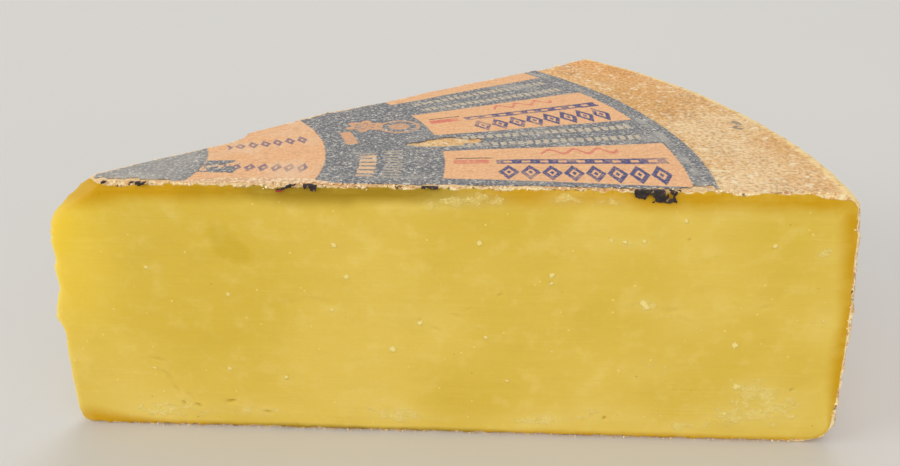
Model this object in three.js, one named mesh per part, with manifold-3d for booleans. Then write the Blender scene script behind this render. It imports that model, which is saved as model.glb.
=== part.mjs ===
// A wedge cut from a wheel of hard Alpine cheese, with the printed paper label
// that covers the middle of the wheel's top and was cut through with it.
// Millimetres, +Z up. The wheel's axis is the Z axis while the pieces are made;
// at the end the origin moves to the middle of the wedge's footprint.

import * as THREE from 'three';
import { mergeVertices } from 'three/addons/utils/BufferGeometryUtils.js';
import Module from 'manifold-3d';

const wasm = await Module();
wasm.setup();

// The wheel
const wheelHeight = 109.4;
const shoulderRadius = 304; // heel radius just under the top rim
const footFlare = 7; // how much wider the heel is just above the foot
const heelBulge = 2; // how far the heel stands out from a straight slope
const rimCorner = 6; // rounding between the top and the heel
const footCorner = 10; // rounding between the heel and the underside

// The two cuts, each a distance from the wheel's axis
const wedgeAngle = THREE.MathUtils.degToRad(45);
const nearCutOffset = 18; // the near cut runs outside the axis, so its face holds more
const farCutOffset = 17; // the far cut's top edge runs inside the axis
const farCutLean = 12; // how much further out the far cut is at the underside

// The nose, where the two cuts meet. Its setbacks run along the wedge's middle
// line from the point where the cuts would meet on the underside.
const noseTopSetback = 28; // to where the top starts
const noseShoulderSetback = 8; // to the steep part below the top
const noseShoulderDrop = 22; // from the top down to the steep part
const noseFootSetback = 17; // to where the underside starts
const noseFootRise = 9; // from the underside up to the steep part
const noseRadius = 5; // rounding of the nose seen from above

// The label
const bareRim = 45; // rind left bare between the label and the rim's rounding
const labelThickness = 0.4;
const labelGap = 0.3; // clearance between the label and the rind below it

// Fineness of the curved faces
const wheelSides = 240;
const cornerSteps = 5;
const slopeSteps = 6;

const mergeDistance = 1e-4;

// The cutting tools reach well past the wheel on every side.
const beyondWheel = 100;
const reach = shoulderRadius + footFlare + heelBulge + beyondWheel;
const toolBottom = -beyondWheel;
const toolTop = wheelHeight + beyondWheel;

function toSolid(geometry) {
  const bare = geometry.index ? geometry.toNonIndexed() : geometry.clone();
  bare.deleteAttribute('normal');
  bare.deleteAttribute('uv');
  const merged = mergeVertices(bare, mergeDistance);
  const mesh = new wasm.Mesh({
    numProp: 3,
    vertProperties: new Float32Array(merged.attributes.position.array),
    triVerts: new Uint32Array(merged.index.array),
  });
  return new wasm.Manifold(mesh);
}

function toGeometry(solid) {
  const mesh = solid.getMesh();
  const geometry = new THREE.BufferGeometry();
  geometry.setAttribute('position', new THREE.BufferAttribute(mesh.vertProperties, 3));
  geometry.setIndex(new THREE.BufferAttribute(mesh.triVerts, 1));
  geometry.computeVertexNormals();
  return geometry;
}

// A lathe profile runs up the outside, from the axis to the axis. The lathe
// turns about Y, so its shape is stood up on Z.
function lathe(points) {
  const turned = new THREE.LatheGeometry(points, wheelSides);
  turned.rotateX(Math.PI / 2);
  return toSolid(turned);
}

function wheel() {
  const footRadius = shoulderRadius + footFlare;
  const shoulderHeight = wheelHeight - rimCorner;
  const heel = new THREE.QuadraticBezierCurve(
    new THREE.Vector2(footRadius, footCorner),
    new THREE.Vector2(
      (footRadius + shoulderRadius) / 2 + 2 * heelBulge, // the curve goes half way to this point
      (footCorner + shoulderHeight) / 2),
    new THREE.Vector2(shoulderRadius, shoulderHeight),
  );
  const foot = new THREE.EllipseCurve(
    footRadius - footCorner, footCorner, footCorner, footCorner, -Math.PI / 2, 0);
  const rim = new THREE.EllipseCurve(
    shoulderRadius - rimCorner, shoulderHeight, rimCorner, rimCorner, 0, Math.PI / 2);
  return lathe([
    new THREE.Vector2(0, 0),
    ...foot.getPoints(cornerSteps),
    ...heel.getPoints(slopeSteps).slice(1, -1),
    ...rim.getPoints(cornerSteps),
    new THREE.Vector2(0, wheelHeight),
  ]);
}

function labelDisc() {
  const labelRadius = shoulderRadius - rimCorner - bareRim;
  const bottom = wheelHeight + labelGap;
  const top = bottom + labelThickness;
  return lathe([
    new THREE.Vector2(0, bottom),
    new THREE.Vector2(labelRadius, bottom),
    new THREE.Vector2(labelRadius, top),
    new THREE.Vector2(0, top),
  ]);
}

// Everything on the cheese's side of the far cut. The cut turns about its own
// top edge, so the top edge stays where it is when the lean changes.
function farCutTool() {
  const lean = Math.atan2(farCutLean, wheelHeight);
  const block = new THREE.BoxGeometry(4 * reach, 2 * reach, 4 * reach);
  block.translate(0, -reach, 0);
  block.rotateX(lean);
  block.translate(0, -farCutOffset, wheelHeight);
  block.rotateZ(wedgeAngle);
  return toSolid(block);
}

// Where the two cuts would meet on the underside.
function footApex() {
  const farOffset = farCutOffset - farCutLean;
  const x = (farOffset - nearCutOffset * Math.cos(wedgeAngle)) / Math.sin(wedgeAngle);
  return new THREE.Vector2(x, -nearCutOffset);
}

// Seen from above: the near cut, the far cut at the underside, and the rounded
// corner between them.
function planTool() {
  const apex = footApex();
  const farDirection = new THREE.Vector2(Math.cos(wedgeAngle), Math.sin(wedgeAngle));
  const setback = noseRadius / Math.tan(wedgeAngle / 2);
  const nearEnd = apex.clone().add(new THREE.Vector2(2 * reach, 0));
  const farEnd = apex.clone().addScaledVector(farDirection, 2 * reach);
  const centre = apex.clone().add(new THREE.Vector2(setback, noseRadius));
  const plan = new THREE.Shape();
  plan.moveTo(nearEnd.x, nearEnd.y);
  plan.lineTo(farEnd.x, farEnd.y);
  plan.absarc(centre.x, centre.y, noseRadius, wedgeAngle + Math.PI / 2, 1.5 * Math.PI, false);
  plan.closePath();
  const block = new THREE.ExtrudeGeometry(plan, {
    depth: toolTop - toolBottom,
    bevelEnabled: false,
    curveSegments: 2 * cornerSteps,
  });
  block.translate(0, 0, toolBottom);
  return toSolid(block);
}

// Seen from the side, square to the wedge's middle line: the nose slopes out
// from the top, drops steeply and turns in under the foot.
function noseTool() {
  const shoulderHeight = wheelHeight - noseShoulderDrop;
  const slope = new THREE.Shape();
  slope.moveTo(2 * reach, toolTop);
  slope.lineTo(noseTopSetback, toolTop);
  slope.lineTo(noseTopSetback, wheelHeight);
  slope.bezierCurveTo(
    THREE.MathUtils.lerp(noseTopSetback, noseShoulderSetback, 0.6),
    THREE.MathUtils.lerp(wheelHeight, shoulderHeight, 0.4),
    noseShoulderSetback,
    THREE.MathUtils.lerp(wheelHeight, shoulderHeight, 0.6),
    noseShoulderSetback,
    shoulderHeight);
  slope.lineTo(0, noseFootRise);
  slope.quadraticCurveTo(0, 0, noseFootSetback, 0);
  slope.lineTo(noseFootSetback, toolBottom);
  slope.lineTo(2 * reach, toolBottom);
  slope.closePath();
  const middle = new THREE.Vector2(Math.cos(wedgeAngle / 2), Math.sin(wedgeAngle / 2));
  const block = new THREE.ExtrudeGeometry(slope, {
    depth: 4 * reach,
    bevelEnabled: false,
    curveSegments: cornerSteps,
  });
  block.translate(footApex().dot(middle), 0, -2 * reach);
  block.rotateX(Math.PI / 2);
  block.rotateZ(wedgeAngle / 2);
  return toSolid(block);
}

const slice = planTool().intersect(farCutTool()).intersect(noseTool());

function named(name, solid, colour, roughness) {
  const material = new THREE.MeshStandardMaterial({ color: colour, roughness, metalness: 0 });
  const mesh = new THREE.Mesh(toGeometry(solid), material);
  mesh.name = name;
  return mesh;
}

const group = new THREE.Group();
group.add(named('cheese_wedge', wheel().intersect(slice), 0xdcc05a, 0.5));
group.add(named('top_label', labelDisc().intersect(slice), 0x6a6c6c, 0.8));

// The origin stands under the middle of the wedge's footprint.
const box = new THREE.Box3().setFromObject(group);
const middle = box.getCenter(new THREE.Vector3());
group.position.set(-middle.x, -middle.y, 0);

export default group;
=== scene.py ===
"""A wedge cut from a wheel of hard Alpine cheese, with its worn paper label.

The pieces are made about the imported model's own box, in metres.
"""

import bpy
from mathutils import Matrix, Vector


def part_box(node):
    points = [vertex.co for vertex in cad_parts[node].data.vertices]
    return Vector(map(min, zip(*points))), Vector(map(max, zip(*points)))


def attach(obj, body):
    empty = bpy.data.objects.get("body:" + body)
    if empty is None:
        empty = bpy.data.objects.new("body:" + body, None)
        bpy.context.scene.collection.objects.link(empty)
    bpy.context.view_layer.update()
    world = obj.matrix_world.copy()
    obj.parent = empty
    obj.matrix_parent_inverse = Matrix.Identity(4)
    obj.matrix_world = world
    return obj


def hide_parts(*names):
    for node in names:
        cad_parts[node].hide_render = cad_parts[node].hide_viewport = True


bl_info = {
    "name": "Alpine cheese wedge",
    "version": (1, 0, 0),
    "blender": (4, 5, 0),
    "location": "3D View > Sidebar > Cheese",
    "description": "Makes a wedge of hard cheese with a worn printed label on its rind",
    "category": "Add Mesh",
}

import math
import random

import bmesh
import bpy
from mathutils import Matrix, Vector, noise

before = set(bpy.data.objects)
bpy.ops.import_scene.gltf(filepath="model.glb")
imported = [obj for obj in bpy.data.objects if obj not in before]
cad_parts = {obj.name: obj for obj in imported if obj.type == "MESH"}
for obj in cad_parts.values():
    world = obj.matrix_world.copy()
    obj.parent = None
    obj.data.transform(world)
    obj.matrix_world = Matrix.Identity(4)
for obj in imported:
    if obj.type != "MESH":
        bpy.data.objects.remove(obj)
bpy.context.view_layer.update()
LOW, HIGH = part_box("cheese_wedge")

MM = 0.001
HEIGHT = HIGH.z

# The wheel, about its own axis
FOOT_RADIUS = 311 * MM
SHOULDER_RADIUS = 304 * MM
HEEL_BULGE = 2 * MM
RIM_CORNER = 6 * MM
FOOT_CORNER = 10 * MM
NEAR_CUT_OFFSET = 18 * MM
FAR_CUT_OFFSET = 17 * MM
FAR_CUT_LEAN = 12 * MM
AXIS = Vector((HIGH.x - FOOT_RADIUS, LOW.y + NEAR_CUT_OFFSET, 0))

WEDGE_ANGLE = math.radians(45)
FAR_OUT = Vector((-math.sin(WEDGE_ANGLE), math.cos(WEDGE_ANGLE), 0))
FAR_ALONG = Vector((math.cos(WEDGE_ANGLE), math.sin(WEDGE_ANGLE), 0))
MIDDLE = Vector((math.cos(WEDGE_ANGLE / 2), math.sin(WEDGE_ANGLE / 2), 0))
FOOT_APEX = Vector((
    (FAR_CUT_OFFSET - FAR_CUT_LEAN - NEAR_CUT_OFFSET * math.cos(WEDGE_ANGLE)) / math.sin(WEDGE_ANGLE),
    -NEAR_CUT_OFFSET, 0))
NOSE_RADIUS = 5 * MM
HEEL_SPAN = (10 * MM, 103 * MM)  # the heights between which the heel is one slope

# The nose seen from the side. Its setbacks run along the wedge's middle line
# from the point where the cuts would meet on the underside. Millimetres.
NOSE_TOP_SETBACK = 28
NOSE_SHOULDER_SETBACK = 8
NOSE_SHOULDER_DROP = 22
NOSE_FOOT_SETBACK = 17
NOSE_FOOT_RISE = 9

# How far the worn nose stands out from that, by height: it leans out from a
# third of the way up and draws in again at the top. Millimetres.
NOSE_LEAN = ((0, -1), (33, -1), (44, 1.2), (84, 5.8), (101, 5.8), (109.4, 1.5))

# What stands out further on the nose, as a middle height, a half height and how
# far it stands out. Millimetres.
NOSE_BROW = (95.5, 6.3, 5.6)
NOSE_LOBE = (54.3, 4.4, 8.0)
NOSE_TUCK = (1.0, 1.8, -3.0)

# The far cut's top edge: it steps out a quarter of the way along, and swings in
# again towards the heel. Distance from the wheel's axis, and how far the edge is
# outside its straight line. Millimetres.
FAR_EDGE = (
    (66, -2.5), (74, -0.5), (78, 3.5), (120, 6.5), (150, 2.5), (175, 2), (230, -2.5), (262, -3.5),
    (320, -1),
)

# Dents in the near cut: x and z of the middle, half length, half width, turn in
# degrees, depth. Millimetres.
DENTS = (
    (-90, 13.5, 1.7, 0.6, 5, 1.5),
    (-75, 8.5, 1.3, 0.6, -15, 1.2),
    (-110, 12.0, 1.0, 0.6, -60, 1.1),
    (-104, 11.0, 1.2, 0.6, -30, 1.3),
    (-118, 33.0, 3.0, 0.8, -15, 0.45),
    (-115, 25.5, 3.2, 0.8, -50, 0.5),
    (-112, 19.0, 2.6, 0.7, -60, 0.45),
    (-107, 16.0, 3.0, 0.9, -45, 0.35),
    (64, 10.0, 0.8, 0.6, 75, 1.2),
    (-11, 54.0, 1.2, 0.6, 70, 0.4),
    (-5, 50.5, 1.8, 0.7, -30, 0.35),
    (3, 56.5, 2.0, 0.7, -20, 0.35),
    (8, 59.5, 1.4, 0.6, 40, 0.3),
    (20, 66.0, 1.0, 0.6, 60, 0.5),
    (92, 57.0, 3.0, 1.0, -25, 0.3),
    (86, 61.0, 3.0, 1.0, 15, 0.3),
    (121, 63.0, 2.4, 0.8, 15, 0.35),
    (137, 26.0, 0.8, 0.6, 30, 0.9),
    (89.5, 91.0, 0.5, 0.5, 0, 0.8),
    (-51, 62.0, 5.0, 1.6, -15, 0.25),
    (-62, 61.0, 3.0, 1.2, 8, 0.25),
)

# Pale crystals in the near cut: x and z of the middle, half width. Millimetres.
CRYSTALS = (
    (-43, 86, 0.9), (-39, 72.5, 0.9), (-22, 40.5, 1.3), (39.5, 75, 0.9),
    (39.5, 71.5, 0.7), (75, 64, 1.2), (76.5, 62, 0.9), (112, 46, 1.2),
    (121, 89, 0.8), (87.5, 98.5, 0.7), (61, 90, 0.6), (66, 89.5, 0.8),
    (73, 90, 0.7), (-86, 64, 0.7), (-89, 29.5, 0.8), (-66, 26, 0.8),
    (115, 27, 1.2), (-45.5, 58, 0.6), (24, 27, 0.6), (12, 88, 0.9),
    (-117, 75, 0.7), (-11, 53, 1.0), (15, 47, 0.8), (112, 14, 0.8), (-120, 29, 0.7),
)

# Crumbly pale patches on the near cut: x and z of the middle, half width, half
# height, strength. Millimetres.
SMEARS = (
    (-117, 9, 22, 6, 1.0), (-80, 9, 14, 4, 0.7), (-19, 9, 11, 4, 1.0),
    (-33, 16, 12, 8, 0.5), (40, 9, 10, 4, 0.8), (20, 8, 40, 3, 0.4),
    (57, 13, 8, 5, 0.7), (76, 11, 10, 5, 0.7), (96, 7, 9, 3, 0.9),
    (120, 27, 9, 5, 0.9), (116, 13, 14, 7, 0.9), (134, 18, 13, 9, 0.9),
    (93, 54, 12, 9, 0.55), (76, 63, 5, 4, 0.9), (85, 34, 14, 7, 0.5),
    (11, 105, 13, 3, 1.2), (42, 106, 9, 3, 1.1), (60, 105.5, 9, 2.5, 0.9),
    (140, 86, 6, 5, 0.8), (143, 55, 5, 8, 0.8), (118, 63, 8, 3, 0.5),
    (-10, 56, 12, 6, 0.4), (45, 90, 8, 4, 0.5), (68, 89, 9, 3, 0.6),
    (-4, 102, 8, 3, 0.7), (-20, 102, 8, 2, 0.6), (110, 101, 22, 3, 0.4),
)

# Single marks. The flower, the ring, the smudge and the torn patch are in x and y
# about the wheel's axis, the bruise in x and z on the near cut. Millimetres.
FLOWER_PLACE = (113, 56)
RING_PLACE = (128.5, 56)
SMUDGE_PLACE = (279, 67)
SMUDGE_HALF = (3.2, 8)
TORN_PATCH_PLACE = (150, 35.5)
TORN_PATCH_HALF = (17.5, 6.4)
TORN_PATCH_TURN = math.radians(14)
BRUISE_PLACE = (-84, 86)
BRUISE_HALF = (6.5, 9)

# Torn scraps of label that hang over the near cut's top edge: x of the middle,
# width, drop, and whether the scrap ends in red. Millimetres.
SCRAPS = (
    (-116.0, 8.0, 1.2, False),
    (-59.5, 7.5, 2.6, True),
    (-50.5, 7.0, 1.9, False),
    (-5.0, 10.0, 0.6, False),
    (76.0, 17.0, 4.4, False),
    (-127.6, 1.5, 0.4, False),
)


# The lights: name, share of the key light's power, size, place, the point it is
# turned to, and tint. Metres.
LIGHTS = (
    ("key_light", 1.0, 4.8, (-2.0, -6.4, 3.8), (0, 0, 0.05), (1.0, 0.98, 0.95)),
    ("fill_light", 0.6, 4.8, (4.8, -6.0, 2.4), (0, 0, 0.05), (0.96, 0.98, 1.0)),
    ("back_light", 1.3, 6.0, (0.5, 6.0, 6.0), (0, 0, 0.1), (1.0, 0.99, 0.97)),
    ("side_light", 0.9, 3.6, (-6.0, -2.1, 2.7), (-0.15, -0.1, 0.07), (1.0, 0.97, 0.92)),
)
FLOOR_RADIUS = 6.0
CRUMB_SEED = 7


def colour(code):
    """A colour from its six web digits, as the light values that Blender works in."""
    values = []
    for start in (0, 2, 4):
        share = int(code[start:start + 2], 16) / 255
        if share <= 0.04045:
            values.append(share / 12.92)
        else:
            values.append(((share + 0.055) / 1.055) ** 2.4)
    return tuple(values)


# ---------------------------------------------------------------- settings

def size_property(name, description, default):
    return bpy.props.FloatProperty(
        name=name, description=description, default=default, min=0.0, unit="LENGTH", precision=5)


def colour_property(name, description, code):
    return bpy.props.FloatVectorProperty(
        name=name, description=description, default=colour(code), size=3,
        min=0.0, max=1.0, subtype="COLOR")


class WedgeSettings(bpy.types.PropertyGroup):
    """Sizes and colours of the cheese itself."""

    grain: size_property(
        "Grain", "Fineness of the cheese's surface before its edges are refined", 1.8 * MM)
    crust: size_property(
        "Crust", "Thickness of the pale crust that shows along the cuts", 0.8 * MM)
    wave: size_property(
        "Wave", "How far the rind rises and falls", 0.45 * MM)
    paste: colour_property("Paste", "The cut cheese", "e5c659")
    paste_deep: colour_property("Deeper paste", "Richer areas of the cut cheese", "d9b83f")
    amber: colour_property("Amber", "The dense cheese under the rind", "cd9b00")
    crumb: colour_property("Crumb", "Pale crumbs and crystals", "f6e08c")
    olive: colour_property("Olive", "Greener stretches of the amber", "a38214")
    crust_pale: colour_property("Crust", "Dry crust along the cuts", "ffe8b4")
    crust_brown: colour_property("Brown crust", "Older crust along the cuts", "d99f5c")
    rind_orange: colour_property("Orange rind", "The rind towards the far cut", "eb9a48")
    rind: colour_property("Rind", "The washed rind", "e0a866")
    rind_dark: colour_property("Dark rind", "Hollows and old smears in the rind", "9c6a44")
    rind_pale: colour_property("Pale rind", "Dry, worn grains of the rind", "f3cf9c")


class LabelSettings(bpy.types.PropertyGroup):
    """Sizes and colours of the printed label."""

    radius: size_property("Radius", "Radius of the round label", 253 * MM)
    thickness: size_property("Thickness", "Thickness of the paper", 0.3 * MM)
    lift: size_property("Lift", "How far the paper's underside is above the rind", 0.12 * MM)
    # The ground is painted a lighter grey than ink: partly the worn print, partly painted sheen of the
    # lamps on the paper.
    ground: colour_property("Ground", "The worn dark print", "67686d")
    ground_worn: colour_property("Worn ground", "Fibres that show through the dark print", "c2bbae")
    panel: colour_property("Panel", "The ochre panels", "e9ab78")
    panel_worn: colour_property("Worn panel", "Rubbed parts of the panels", "f6c894")
    blue: colour_property("Blue", "The blue marks", "4b4c78")
    red: colour_property("Red", "The red marks", "d9695c")
    scrap: colour_property("Scrap", "Torn scraps of the label along the cut", "3a2a22")


class StageSettings(bpy.types.PropertyGroup):
    """The floor, the lights and the camera."""

    lens: bpy.props.FloatProperty(
        name="Lens", description="Focal length of the camera", default=34.26, unit="CAMERA")
    place: bpy.props.FloatVectorProperty(
        name="Place", description="Where the camera stands", size=3, unit="LENGTH",
        default=(14.7 * MM, LOW.y - 290.9 * MM, 223.4 * MM), precision=5)
    turn: bpy.props.FloatProperty(
        name="Turn", description="How far the camera is turned to its left",
        default=0.0473, unit="ROTATION")
    tilt: bpy.props.FloatProperty(
        name="Tilt", description="How far the camera looks down", default=0.4241, unit="ROTATION")
    roll: bpy.props.FloatProperty(
        name="Roll", description="How far the camera leans over", default=-0.0013, unit="ROTATION")
    floor: colour_property("Floor", "The floor under the cheese", "d9d6d0")
    key: bpy.props.FloatProperty(
        name="Key light", description="Strength of the main light", default=138.0, unit="POWER")


# ---------------------------------------------------------------- modelling by hand

def deselect():
    bpy.ops.object.select_all(action="DESELECT")


def select_only(piece):
    deselect()
    piece.select_set(True)
    bpy.context.view_layer.objects.active = piece


def begin(name):
    """Names the primitive just added, puts its place in its mesh and opens it for editing."""
    piece = bpy.context.object
    piece.name = name
    piece.data.name = name
    bpy.ops.object.transform_apply(location=True, rotation=True, scale=True)
    bpy.ops.object.mode_set(mode="EDIT")
    return piece


def pick(kind, test):
    """In edit mode, selects the vertices, edges or faces that pass the test, and nothing else."""
    bpy.ops.mesh.select_mode(type=kind)
    bpy.ops.mesh.select_all(action="DESELECT")
    shape = bmesh.from_edit_mesh(bpy.context.edit_object.data)
    parts = {"VERT": shape.verts, "EDGE": shape.edges, "FACE": shape.faces}[kind]
    chosen = 0
    for part in parts:
        if test(part):
            part.select_set(True)
            chosen += 1
    bmesh.update_edit_mesh(bpy.context.edit_object.data)
    return chosen


def slice_off(point, outward):
    """Cuts everything beyond a plane off the open piece and closes the cut."""
    bpy.ops.mesh.select_all(action="SELECT")
    bpy.ops.mesh.bisect(plane_co=point, plane_no=outward, use_fill=True, clear_outer=True)


def score(point, across):
    """Adds a line of edges all over the open piece where a plane crosses it."""
    bpy.ops.mesh.select_all(action="SELECT")
    bpy.ops.mesh.bisect(plane_co=point, plane_no=across)


def apply_modifier(piece, name, kind, **values):
    modifier = piece.modifiers.new(name, kind)
    for key, value in values.items():
        setattr(modifier, key, value)
    select_only(piece)
    bpy.ops.object.modifier_apply(modifier=modifier.name)


def keep_values(piece, name, values):
    """Keeps one value on every point of the piece, for its material."""
    layer = piece.data.attributes.new(name, "FLOAT", "POINT")
    layer.data.foreach_set("value", values)


def dress(piece, material):
    piece.data.materials.clear()
    piece.data.materials.append(material)
    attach(piece, "root")


def clamp(value, low=0.0, high=1.0):
    return max(low, min(high, value))


def ease(value, low, high):
    """0 at low, 1 at high, with a smooth start and end."""
    share = clamp((value - low) / (high - low))
    return share * share * (3 - 2 * share)


def grain(x, y, z, size, layer=0.0):
    """Smooth noise from -1 to 1 whose lumps are about the given size."""
    return noise.noise(Vector((x / size + 17.3 * layer, y / size - 9.1 * layer, z / size + layer)))


def grain_at(place, size, layer):
    """The grain at a place in the piece, its lumps given in millimetres."""
    return grain(*place, size * MM, layer)


def along_table(table, value):
    """The height of a line through the table's points."""
    for (x0, y0), (x1, y1) in zip(table, table[1:]):
        if value <= x1:
            return y0 + (y1 - y0) * clamp((value - x0) / (x1 - x0))
    return table[-1][1]


def swelling(value, middle, half, amount):
    """A round swelling: the whole amount at its middle, next to nothing two halves away."""
    return amount * math.exp(-((value - middle) / half) ** 2)


def on_curve(share, *corners):
    """The point at a share of the way along the curve that its corners pull into shape."""
    while len(corners) > 1:
        corners = [first.lerp(second, share) for first, second in zip(corners, corners[1:])]
    return corners[0]


# ---------------------------------------------------------------- the wheel's shape

def nose_profile():
    """The nose's outline from the top to the underside, as setbacks and heights in millimetres."""
    start = Vector((NOSE_TOP_SETBACK, HEIGHT / MM))
    shoulder = Vector((NOSE_SHOULDER_SETBACK, HEIGHT / MM - NOSE_SHOULDER_DROP))
    slope = (
        start,
        Vector((start.lerp(shoulder, 0.6).x, start.lerp(shoulder, 0.4).y)),
        Vector((shoulder.x, start.lerp(shoulder, 0.6).y)),
        shoulder,
    )
    foot = (Vector((0, NOSE_FOOT_RISE)), Vector((0, 0)), Vector((NOSE_FOOT_SETBACK, 0)))
    points = [on_curve(step / 4, *slope) for step in range(5)]
    points += [on_curve(step / 2, *foot) for step in range(3)]
    return [tuple(point) for point in points]


NOSE_PROFILE = nose_profile()
NOSE_SETBACK = tuple((z, setback) for setback, z in reversed(NOSE_PROFILE))


def heel_radius(z):
    """Radius of the heel at a height, between its two rounded corners."""
    low = FOOT_CORNER
    high = HEIGHT - RIM_CORNER
    share = (z - low) / (high - low)
    middle = (FOOT_RADIUS + SHOULDER_RADIUS) / 2 + 2 * HEEL_BULGE
    return ((1 - share) ** 2 * FOOT_RADIUS + 2 * share * (1 - share) * middle
            + share ** 2 * SHOULDER_RADIUS)


def rind_depth(local):
    """How deep a point lies under the rind, in metres. The point is about the wheel's axis."""
    radius = math.hypot(local.x, local.y)
    rim_z = HEIGHT - RIM_CORNER
    rim_r = SHOULDER_RADIUS - RIM_CORNER
    foot_r = FOOT_RADIUS - FOOT_CORNER
    if local.z > rim_z and radius > rim_r:
        return max(0.0, RIM_CORNER - math.hypot(local.z - rim_z, radius - rim_r))
    if local.z < FOOT_CORNER and radius > foot_r:
        return max(0.0, FOOT_CORNER - math.hypot(FOOT_CORNER - local.z, radius - foot_r))
    return max(0.0, min(HEIGHT - local.z, heel_radius(local.z) - radius, local.z))


def far_distance(local):
    """Distance outside the far cut's plane, negative inside the cheese."""
    return FAR_OUT.dot(local) + FAR_CUT_OFFSET - FAR_CUT_LEAN * (HEIGHT - local.z) / HEIGHT


def far_bow(local):
    """How far the far cut stands out from its plane here.

    The slow bow fades towards the underside, and the edge's quick wander just below the top."""
    radius = math.hypot(local.x, local.y) / MM
    at_edge = along_table(FAR_EDGE, radius)
    slow = (at_edge + sum(along_table(FAR_EDGE, radius + shift) for shift in (-24, -12, 12, 24))) / 5
    edge_only = (at_edge - slow) * ease(local.z, HEIGHT - 22 * MM, HEIGHT)
    return (slow * ease(local.z, 0.0, HEIGHT) + edge_only) * MM


def far_edge_at(radius):
    """How far outside the axis the far cut's top edge runs, at a distance from the axis."""
    return along_table(FAR_EDGE, radius / MM) * MM - FAR_CUT_OFFSET


def top_wave(x, y, wave):
    """How far the top of the rind stands above its flat."""
    slow = grain(x, y, 0.0, 52 * MM)
    quick = grain(x, y, 0.0, 17 * MM, 3.0)
    return wave * (0.8 * slow + 0.35 * quick)


# ---------------------------------------------------------------- the cheese

def cut_blank(cell):
    """The plain wedge: a cylinder shaped into the wheel and cut on all its flat sides."""
    deselect()
    bpy.ops.mesh.primitive_cylinder_add(
        vertices=240, radius=FOOT_RADIUS, depth=HEIGHT,
        location=(AXIS.x, AXIS.y, HEIGHT / 2))
    piece = begin("cheese_body")
    steps = 6
    for step in range(1, steps):
        z = FOOT_CORNER + (HEIGHT - RIM_CORNER - FOOT_CORNER) * step / steps
        score((0, 0, z), (0, 0, 1))
    rings = {round(v.co.z, 5) for v in bmesh.from_edit_mesh(piece.data).verts}
    for z in sorted(rings):
        if z < FOOT_CORNER:
            continue
        size = min(heel_radius(z), FOOT_RADIUS + HEEL_BULGE) / FOOT_RADIUS
        pick("VERT", lambda v: abs(v.co.z - z) < 0.05 * MM)
        bpy.ops.transform.resize(value=(size, size, 1), center_override=(AXIS.x, AXIS.y, z))
    for z, corner in ((HEIGHT, RIM_CORNER), (0.0, FOOT_CORNER)):
        pick("EDGE", lambda e: all(abs(v.co.z - z) < 0.05 * MM for v in e.verts))
        bpy.ops.mesh.bevel(offset=corner, segments=5, affect="EDGES")
    slice_off((0, LOW.y, 0), (0, -1, 0))
    slice_off(AXIS - FAR_OUT * (FAR_CUT_OFFSET - FAR_CUT_LEAN), FAR_OUT)
    nose_edge = AXIS + FOOT_APEX

    def is_nose(edge):
        return all((v.co.xy - nose_edge.xy).length < MM for v in edge.verts)

    if pick("EDGE", is_nose) != 1:
        raise RuntimeError("the edge between the two cuts was not found")
    setback = NOSE_RADIUS / math.tan(WEDGE_ANGLE / 2)
    bpy.ops.mesh.bevel(offset=setback, segments=6, affect="EDGES")
    far_normal = FAR_OUT + Vector((0, 0, FAR_CUT_LEAN / HEIGHT))
    slice_off(AXIS - FAR_OUT * FAR_CUT_OFFSET + Vector((0, 0, HEIGHT)), far_normal)
    for (s0, z0), (s1, z1) in zip(NOSE_PROFILE, NOSE_PROFILE[1:]):
        point = nose_edge + MIDDLE * s0 * MM + Vector((0, 0, z0 * MM))
        run = Vector((s1 - s0, z1 - z0))
        outward = MIDDLE * run.y - Vector((0, 0, run.x))
        slice_off(point, outward)
    bpy.ops.object.mode_set(mode="OBJECT")
    apply_modifier(piece, "Even surface", "REMESH", mode="VOXEL", voxel_size=cell)
    apply_modifier(piece, "Settle", "SMOOTH", factor=0.5, iterations=3)
    return piece


def refine(piece):
    """Makes the surface finer where the real one is crumbly: along the cuts' edges and at the dents."""
    select_only(piece)
    bpy.ops.object.mode_set(mode="EDIT")

    def near_edge(reach_top, reach_face):
        def test(face):
            co = face.calc_center_median()
            from_face = co.y - LOW.y
            from_top = HEIGHT - co.z
            return from_face < reach_top and from_top < reach_face
        return test

    def at_feature(face):
        co = face.calc_center_median()
        if co.y - LOW.y > 1.2 * MM:
            return False
        x = co.x / MM
        z = co.z / MM
        for dent in DENTS:
            if math.hypot(x - dent[0], z - dent[1]) < dent[2] + 2:
                return True
        return any(math.hypot(x - c[0], z - c[1]) < 2.6 for c in CRYSTALS)

    pick("FACE", lambda f: near_edge(9 * MM, 7 * MM)(f) or at_feature(f))
    bpy.ops.mesh.subdivide(number_cuts=1)
    pick("FACE", lambda f: near_edge(3 * MM, 3.2 * MM)(f) or at_feature(f))
    bpy.ops.mesh.subdivide(number_cuts=1)

    def rim_or_far(face):
        local = face.calc_center_median() - AXIS
        near_face = local.y + NEAR_CUT_OFFSET < 3 * MM
        heel = math.hypot(local.x, local.y) > heel_radius(clamp(local.z, *HEEL_SPAN)) - 4 * MM
        far_edge = far_distance(local) > -3 * MM and HEIGHT - local.z < 3 * MM
        foot = near_face and local.z < 3 * MM
        return (near_face and heel) or far_edge or foot

    pick("FACE", rim_or_far)
    bpy.ops.mesh.subdivide(number_cuts=1)
    bpy.ops.mesh.select_all(action="DESELECT")
    bpy.ops.object.mode_set(mode="OBJECT")


def dent_depth(x, z):
    """Depth of the near cut's dents at a place, in millimetres."""
    total = 0.0
    for cx, cz, half_length, half_width, turn, depth in DENTS:
        dx = x - cx
        dz = z - cz
        if abs(dx) > 2.5 * half_length + 3 or abs(dz) > 2.5 * half_length + 3:
            continue
        c = math.cos(math.radians(turn))
        s = math.sin(math.radians(turn))
        u = (dx * c + dz * s) / half_length
        bend = 0.12 * u * u
        v = (dz * c - dx * s) / half_width + bend
        total += depth * math.exp(-u * u - v * v)
    return total


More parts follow.
